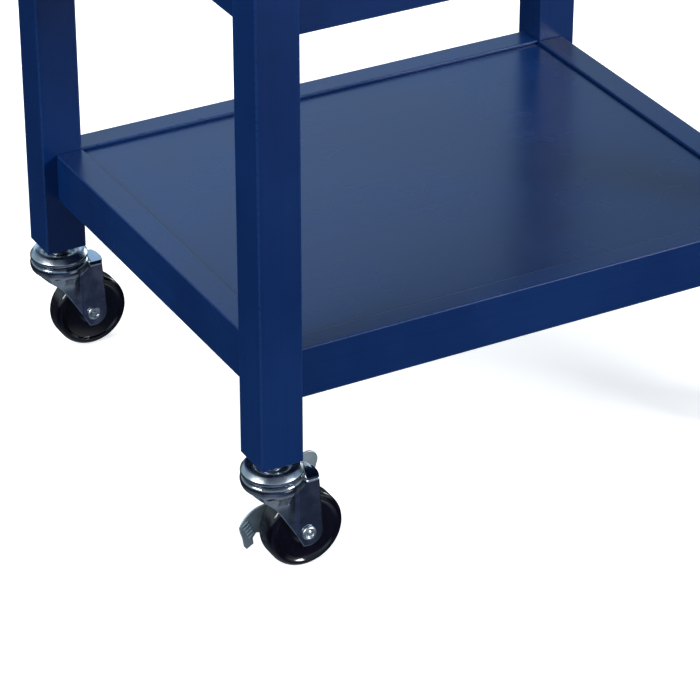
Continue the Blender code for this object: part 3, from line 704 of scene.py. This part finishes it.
def make_boards():
    """The legs, rails, shelves, drawer case, worktop and drawer boxes."""
    paint = painted("satin_navy", False)
    panel_paint = painted("satin_navy_panel", True)
    light_wood = bare_wood("planed_birch", rgb(214, 184, 140), rgb(188, 152, 106), rgb(150, 112, 72), 0.5)
    block = block_wood()
    long_rails = ("lower_rail_front", "lower_rail_back", "middle_rail_front", "middle_rail_back")
    drawer_rails = ("drawer_rail_top", "drawer_rail_bottom", "apron_back")
    side_rails = ("lower_rail_left", "lower_rail_right", "middle_rail_left", "middle_rail_right")
    aprons = ("apron_left", "apron_right")
    for corner in CORNERS:
        rounded_board(f"leg_{corner}", *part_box(f"leg_{corner}"), ARRIS, paint, "navy_paint")
    for name in long_rails + drawer_rails:
        box = between(name, "leg_front_left", "leg_front_right", 0)
        rounded_board(name, *box, ARRIS, paint, "navy_paint")
    for name in side_rails + aprons:
        box = between(name, "leg_front_left", "leg_back_left", 1)
        rounded_board(name, *box, ARRIS, paint, "navy_paint")
    for level in ("lower", "middle"):
        name = f"{level}_shelf_panel"
        rounded_board(name, *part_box(name), PANEL_ARRIS, panel_paint, "navy_paint")
        for side in ("left", "right"):
            name = f"{level}_cleat_{side}"
            rounded_board(name, *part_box(name), CLEAT_ARRIS, paint, "navy_paint")
    rounded_board("worktop", *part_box("worktop"), WORKTOP_ARRIS, block, "butcher_block")
    rounded_copy("case_divider", CLEAT_ARRIS, paint)
    for side in ("left", "right"):
        for place in ("outer", "inner"):
            rounded_copy(f"runner_{side}_{place}", SMALL_ARRIS, light_wood)
        name = f"drawer_{side}_front"
        rounded_board(name, *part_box(name), ARRIS, paint, "navy_paint")
        for part in ("side_inner", "side_outer", "back", "bottom"):
            name = f"drawer_{side}_{part}"
            rounded_board(name, *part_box(name), SMALL_ARRIS, light_wood, "drawer_wood")


# ---------------------------------------------------------------- casters


def stem_mesh(leg_bottom):
    """Stud, flanged nut, dished upper race with a rolled rim, and kingpin with its rivet head."""
    top = leg_bottom
    rivet = top - CROWN_BOTTOM - PLAY
    nut = [
        (0, top + STUD_LENGTH),
        (STUD_RADIUS - 0.8, top + STUD_LENGTH),
        (STUD_RADIUS, top + STUD_LENGTH - 0.8),
        (STUD_RADIUS, top - PLAY),
        (NUT_RADIUS - 0.5, top - PLAY),
        (NUT_RADIUS, top - PLAY - 0.6),
        (NUT_RADIUS, top - NUT_HEIGHT),
        (FLANGE_RADIUS, top - NUT_HEIGHT - 0.9),
        (FLANGE_RADIUS, top - FLANGE_DROP + 0.4),
        (FLANGE_RADIUS - 0.4, top - FLANGE_DROP),
        (DISH_RADIUS - 0.6, top - FLANGE_DROP),
    ]
    inward = DISH_RADIUS - CREST_RADIUS
    dish = arc((CREST_RADIUS, top - FLANGE_DROP), inward, 4, 78, 8, FLANGE_DROP - CREST_DROP)
    crest = arc((CREST_RADIUS + 0.6, top - CREST_DROP - CREST_ROLL), CREST_ROLL, 96, 58, 6)
    rim = arc((RACE_RADIUS - RIM_ROLL, top - RIM_DROP), RIM_ROLL, 46, 0, 8)
    under = [
        (RACE_RADIUS, top - RACE_BOTTOM + 1.6),
        (RACE_RADIUS - 0.3, top - RACE_BOTTOM + 0.5),
        (RACE_RADIUS - 1.4, top - RACE_BOTTOM),
        (RACE_RADIUS - 4.0, top - RACE_BOTTOM + 0.4),
        (KINGPIN_RADIUS, top - RACE_BOTTOM + 0.4),
        (KINGPIN_RADIUS, rivet),
        (RIVET_RADIUS, rivet),
        (RIVET_RADIUS - 0.6, rivet - RIVET_DROP + 0.5),
        (RIVET_RADIUS - 3.0, rivet - RIVET_DROP),
        (0, rivet - RIVET_DROP),
    ]
    return lathe("stem", rounded_profile(nut, 0.4) + dish + crest + rim + rounded_profile(under, 0.5))


def fork_outline(top, axle_x, axle_z):
    """The arm seen along the axle, in millimetres from the swivel axis and the floor."""
    end = arc((axle_x + 0.3, axle_z), ARM_END_RADIUS, 5, -110, 14)
    start, stop = Vector(end[-1]), Vector((WEB_FRONT, top - WEB_DROP))
    pull = (start + stop) / 2 + Vector((2.6, 1.6))
    web = []
    for step in range(1, 9):
        t = step / 9
        web.append(tuple(start * (1 - t) ** 2 + pull * 2 * t * (1 - t) + stop * t * t))
    return [(axle_x + ARM_BACK, top + 1.0), *end, *web, tuple(stop), (WEB_FRONT, top + 1.0)]


def fork_mesh(leg_bottom, axle_x, axle_z):
    """The pressed fork: a bowl about the kingpin that flows into two arms joined by a bowed bridge."""
    top = leg_bottom - FORK_TOP
    low = np.array((-31.5, -31.5, axle_z - 17.0))
    high = np.array((axle_x + 18.0, 31.5, leg_bottom - CROWN_TOP + 1.5))
    x, y, z = grid(low, high, FORK_STEP)
    radius = np.sqrt(x * x + y * y)
    bore = KINGPIN_RADIUS + PLAY
    bowl_outline = [
        (bore, leg_bottom - CROWN_TOP - 0.9),
        (21.0, leg_bottom - CROWN_TOP - 0.9),
        (24.2, leg_bottom - CROWN_TOP),
        *arc((CROWN_RADIUS - SHOULDER, leg_bottom - CROWN_TOP - SHOULDER), SHOULDER, 82, 0, 8),
        *rounded_profile([(r, leg_bottom - drop) for r, drop in BOWL], 6.0, 5),
    ]
    reach = np.arange(0.0, 64.0, 0.25)
    table = polygon_distance(bowl_outline, *np.meshgrid(reach, z.ravel(), indexing="ij"))
    bowl = np.empty((x.size, y.size, z.size))
    flat_radius = radius[:, :, 0]
    for level in range(z.size):
        bowl[:, :, level] = np.interp(flat_radius, reach, table[:, level])

    outline = fork_outline(top, axle_x, axle_z)
    side = polygon_distance(outline, *np.meshgrid(x.ravel(), z.ravel(), indexing="ij"))[:, None, :]
    inward = ease((CREASE + CREASE_WIDTH - x) / CREASE_WIDTH)
    drape = ease((CREASE - x) / DRAPE_WIDTH) * np.clip((z - DRAPE_START) / (top - DRAPE_START), 0, 1) ** 2
    drape = drape * ease((x - WEB_FRONT) / DRAPE_WIDTH)
    across = np.abs(y) - (FORK_OUTER - BEND) + CREASE_DEPTH * inward - DRAPE * drape
    up = z - (top - BEND)
    corner = np.hypot(np.maximum(across, 0), np.maximum(up, 0))
    outer = corner + np.minimum(np.maximum(across, up), 0) - BEND
    shell = np.maximum(outer, -(outer + SHEET))
    channel = smooth_cut(shell, side, 0.9)

    bow = np.hypot(x - (axle_x - BRIDGE_BOW_BACK), y) - BRIDGE_BOW_RADIUS
    plate = np.maximum(bow, np.abs(y) - BRIDGE_HALF_WIDTH)
    plate = np.maximum(plate, np.maximum(z - top, top - SHEET - z))
    plate = np.maximum(plate, BRIDGE_FRONT - x)
    channel = smooth_union(channel, plate, 1.6)
    field = smooth_union(bowl, channel, 4.0 + 9.0 * ease((CREASE - x) / DRAPE_WIDTH))
    hole = np.hypot(x - axle_x, z - axle_z) - (AXLE_RADIUS + PLAY)
    field = np.maximum(field, -hole)
    field = np.maximum(field, bore - radius)
    field = np.maximum(field, z - (leg_bottom - CROWN_TOP))
    return skin("fork", field, low, FORK_STEP)


def wheel_mesh(radius):
    """The moulded wheel: hub, shallow dish, raised rim and rounded tread."""
    half_width = WHEEL_HALF_WIDTH
    side = [
        (AXLE_RADIUS + PLAY, half_width + 0.8),
        (11.0, half_width + 0.8),
        (12.6, half_width - 1.9),
        (15.0, half_width - 2.1),
        (29.6, half_width - 1.7),
        (31.4, half_width - 0.6),
        (32.3, half_width),
    ]
    tread = arc((radius - TREAD_ROLL, half_width - TREAD_ROLL), TREAD_ROLL, 86, 4, 12)
    half = [*rounded_profile(side, 0.8), *tread, (radius, half_width - TREAD_FLAT)]
    mirrored = [(r, -h) for r, h in reversed(half)]
    return lathe("wheel", [*half, *mirrored, half[0]], WHEEL_SEGMENTS)


def axle_mesh(head_face, nut_face):
    """The axle bolt: a domed head with a rolled rim and a dimple, the shank, and a hexagon nut."""
    head = [
        (AXLE_RADIUS, head_face),
        (6.9, head_face),
        (7.1, head_face + 0.9),
        (6.6, head_face + 2.2),
        (5.5, head_face + 2.9),
        (4.5, head_face + 2.6),
        (3.9, head_face + 1.5),
        (3.0, head_face + 1.3),
        (2.2, head_face + 2.0),
        (1.1, head_face + 2.6),
        (0, head_face + 2.7),
    ]
    shank = [
        (0, -nut_face - 5.0),
        (3.2, -nut_face - 5.0),
        (AXLE_RADIUS, -nut_face - 4.4),
        (AXLE_RADIUS, -nut_face),
    ]
    profile = rounded_profile(shank, 0.3) + rounded_profile(head, 0.4)
    bm = bmesh.new()
    bm.from_mesh(lathe("axle", profile, AXLE_SEGMENTS))
    nut = []
    for level, share in ((0.0, 0.94), (0.5, 1.0), (3.4, 1.0), (4.0, 0.92)):
        reach = AXLE_NUT_RADIUS * share
        turns = [math.radians(60 * corner) for corner in range(6)]
        ring = [(reach * math.cos(a), reach * math.sin(a), -nut_face - level) for a in turns]
        nut.append([bm.verts.new(place) for place in ring])
    bm.faces.new(nut[0])
    bm.faces.new(list(reversed(nut[-1])))
    for upper, lower in zip(nut, nut[1:]):
        for corner in range(6):
            after = (corner + 1) % 6
            bm.faces.new((upper[corner], lower[corner], lower[after], upper[after]))
    bmesh.ops.recalc_face_normals(bm, faces=bm.faces)
    mesh = bpy.data.meshes.new("axle")
    bm.to_mesh(mesh)
    bm.free()
    return mesh


def lever_outline():
    """The brake lever seen along the axle, in millimetres from it: tab above, hooked pedal in front."""
    tab = arc((16.2, 54.0), 10.5, -25, 150, 18)
    pedal = arc((-27.5, -7.3), 28.4, 85, 160, 16)
    hook = [
        (-53.3, -2.7),
        (-51.2, -9.0),
        (-49.6, -18.5),
        (-47.0, -21.9),
        (-39.8, -17.8),
        (-40.6, -11.4),
        (-37.0, -6.9),
        (-31.0, -9.0),
    ]
    return [*tab, (-6.0, 22.5), *pedal, *hook, *arc((0, 0), 11.5, 235, 345, 12)]


def lever_mesh(inner):
    """The brake lever: a flat blade with eased edges and plain grip ribs pressed into its pedal."""
    low = np.array((-57.0, inner - 2.0, -25.0))
    high = np.array((29.5, inner + SHEET + 1.5, 67.5))
    x, y, z = grid(low, high, LEVER_STEP)
    flat_x, flat_z = np.meshgrid(x.ravel(), z.ravel(), indexing="ij")
    blade = polygon_distance(lever_outline(), flat_x, flat_z)
    blade = np.maximum(blade, AXLE_RADIUS + PLAY - np.hypot(flat_x, flat_z))[:, None, :]
    thick = np.abs(y - (inner + SHEET / 2)) - SHEET / 2
    field = smooth_cut(thick, blade, 0.9)
    for number in range(RIB_COUNT):
        rib_x = flat_x - (RIB_START[0] + RIB_PITCH[0] * number)
        rib_z = flat_z - (RIB_START[1] + RIB_PITCH[1] * number)
        along = np.clip(rib_x * RIB_ALONG[0] + rib_z * RIB_ALONG[1], -RIB_HALF_LENGTH, RIB_HALF_LENGTH)
        off = np.hypot(rib_x - along * RIB_ALONG[0], rib_z - along * RIB_ALONG[1])[:, None, :]
        rib = np.hypot(off, y - inner) - RIB_RADIUS
        field = smooth_union(field, rib, 0.8)
    field = np.maximum(field, AXLE_RADIUS + PLAY - np.hypot(x, z))
    return skin("lever", field, low, LEVER_STEP)


def make_casters():
    """Four casters: shapes made once in millimetres, then copied to each corner."""
    zinc = plated("zinc_pressed", rgb(138, 150, 168), rgb(166, 175, 188), 0.13, 0.3, 0.5)
    # Painted light: the race's zinc has a lighter base colour than the fork's, for the brighter light its
    # rings catch.
    race = plated("zinc_race", rgb(172, 186, 202), rgb(202, 211, 221), 0.24, 0.3, 0.5)
    bright = plated("zinc_bright", rgb(198, 206, 216), rgb(216, 222, 230), 0.34, 0.1, 0.1)
    brushed = plated("zinc_brushed", rgb(166, 182, 190), rgb(184, 198, 206), 0.42, 0.1, 1.6, 0.55)
    black = moulded_black()

    leg_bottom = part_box("leg_front_left")[0].z * PER_METRE
    hub, swivel = middle_of("caster_front_left_wheel"), middle_of("caster_front_left_stem")
    axle_x, axle_z = (hub - swivel).x * PER_METRE, hub.z * PER_METRE
    head_face = FORK_OUTER + PLAY
    stem = stem_mesh(leg_bottom)
    fork = fork_mesh(leg_bottom, axle_x, axle_z)
    wheel = wheel_mesh(axle_z)
    axle = axle_mesh(head_face, head_face)
    braked_axle = axle_mesh(head_face, head_face + SHEET + PLAY)
    lever = lever_mesh(head_face)

    for corner in CORNERS:
        name = f"caster_{corner}"
        hub, swivel = middle_of(f"{name}_wheel"), middle_of(f"{name}_stem")
        turn = Matrix.Rotation(0 if hub.x > swivel.x else math.pi, 4, "Z")
        at_swivel = Matrix.Translation((swivel.x, swivel.y, 0)) @ turn
        at_hub = Matrix.Translation(hub) @ turn
        lay_down = at_hub @ Matrix.Rotation(math.pi / 2, 4, "X")
        bolt = braked_axle if corner in BRAKED else axle
        place_piece(f"{name}_stem", stem, at_swivel, race, 40)
        place_piece(f"{name}_fork", fork, at_swivel, zinc)
        place_piece(f"{name}_wheel", wheel, lay_down, black, 50)
        place_piece(f"{name}_axle", bolt, lay_down, bright, 60)
        if corner in BRAKED:
            place_piece(f"{name}_brake_lever", lever, at_hub, brushed)


# ---------------------------------------------------------------- knobs


def make_knobs():
    """A turned knob on each drawer front, with its screw inside the front."""
    nickel = brushed_nickel()
    shape = [
        (0, -12.0),
        (2.2, -12.0),
        (2.2, 0.3),
        (8.4, 0.3),
        (8.2, 1.6),
        (6.6, 4.6),
        (6.2, 8.0),
        (6.8, 12.0),
        (11.0, 14.6),
        (14.4, 16.6),
        (15.5, 19.2),
        (14.8, 21.6),
        (12.0, 23.4),
        (7.0, 24.6),
        (0, 25.0),
    ]
    knob = lathe("knob", rounded_profile(shape, 1.6, 4))
    front_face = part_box("drawer_left_front")[0].y
    for side in ("left", "right"):
        node = f"drawer_{side}_knob"
        centre = middle_of(node)
        place = Matrix.Translation((centre.x, front_face, centre.z))
        place_piece(node, knob, place @ Matrix.Rotation(math.pi / 2, 4, "X"), nickel, 40)


# ---------------------------------------------------------------- studio


def add_area(name, location, target, size, power, mirrored):
    """A soft rectangular light that the camera doesn't see."""
    light = bpy.data.lights.new(name, "AREA")
    light.shape = "RECTANGLE"
    light.size, light.size_y = size
    light.energy = power
    made = bpy.data.objects.new(name, light)
    made.location = location
    aim = Vector(target) - Vector(location)
    made.rotation_euler = aim.to_track_quat("-Z", "Y").to_euler()
    made.visible_camera = False
    made.visible_glossy = mirrored
    bpy.context.scene.collection.objects.link(made)


def make_world():
    """A pale backdrop for the camera, and a room with soft glows for the reflections."""
    world = bpy.data.worlds.new("studio")
    bpy.context.scene.world = world
    world.use_nodes = True
    nodes, links = world.node_tree.nodes, world.node_tree.links
    room = nodes["Background"]
    backdrop = nodes.new("ShaderNodeBackground")
    backdrop.inputs["Color"].default_value = BACKDROP
    split = nodes.new("ShaderNodeSeparateXYZ")
    height = nodes.new("ShaderNodeMapRange")
    height.inputs["From Min"].default_value = -1.0
    direction = nodes.new("ShaderNodeTexCoord").outputs["Generated"]
    links.new(direction, split.inputs[0])
    links.new(split.outputs["Z"], height.inputs["Value"])
    ramp = nodes.new("ShaderNodeValToRGB")
    links.new(height.outputs["Result"], ramp.inputs[0])
    while len(ramp.color_ramp.elements) < len(ROOM_LIGHT):
        ramp.color_ramp.elements.new(0.5)
    for stop, (up, colour) in zip(ramp.color_ramp.elements, ROOM_LIGHT):
        stop.position = (up + 1) / 2
        stop.color = (*colour, 1.0)
    colour = ramp.outputs["Color"]
    for aim, begin, full, light in GLOWS:
        toward = nodes.new("ShaderNodeVectorMath")
        toward.operation = "DOT_PRODUCT"
        links.new(direction, toward.inputs[0])
        toward.inputs[1].default_value = aim
        glow = nodes.new("ShaderNodeMapRange")
        glow.interpolation_type = "SMOOTHSTEP"
        glow.inputs["From Min"].default_value = begin
        glow.inputs["From Max"].default_value = full
        links.new(toward.outputs["Value"], glow.inputs["Value"])
        added = nodes.new("ShaderNodeMix")
        added.data_type = "RGBA"
        added.blend_type = "ADD"
        links.new(glow.outputs["Result"], added.inputs[MIX_SHARE])
        links.new(colour, added.inputs[MIX_FIRST])
        added.inputs[MIX_SECOND].default_value = (*light, 1.0)
        colour = added.outputs[MIX_COLOUR]
    links.new(colour, room.inputs["Color"])
    mixed = nodes.new("ShaderNodeMixShader")
    links.new(nodes.new("ShaderNodeLightPath").outputs["Is Camera Ray"], mixed.inputs[0])
    links.new(room.outputs[0], mixed.inputs[1])
    links.new(backdrop.outputs[0], mixed.inputs[2])
    links.new(mixed.outputs[0], nodes["World Output"].inputs["Surface"])


def make_studio():
    """A pale floor that neither shows in the paint nor lights it, the room, and soft lights."""
    mesh = bpy.data.meshes.new("floor")
    bm = bmesh.new()
    bmesh.ops.create_grid(bm, x_segments=4, y_segments=4, size=FLOOR_HALF_SIZE)
    bm.to_mesh(mesh)
    bm.free()
    mesh.materials.append(floor_material())
    floor = new_object("floor", mesh)
    floor.visible_glossy = False
    floor.visible_diffuse = False
    make_world()
    for name, settings in SOFT_LIGHTS.items():
        add_area(name, *settings)


def make_camera():
    """Looks down at the lower part of the cart from its front left."""
    lens = bpy.data.cameras.new("camera")
    lens.lens = LENS
    lens.sensor_width = SENSOR_WIDTH
    lens.clip_end = CAMERA_FAR
    camera = bpy.data.objects.new("camera", lens)
    yaw, pitch = math.radians(CAMERA_YAW), math.radians(CAMERA_PITCH)
    level = math.cos(pitch)
    aim = Vector((math.sin(yaw) * level, math.cos(yaw) * level, -math.sin(pitch)))
    camera.location = CAMERA_PLACE
    camera.rotation_euler = aim.to_track_quat("-Z", "Y").to_euler()
    bpy.context.scene.collection.objects.link(camera)
    bpy.context.scene.camera = camera
    bpy.context.scene.view_settings.view_transform = "Standard"


make_boards()
make_casters()
make_knobs()
make_studio()
make_camera()
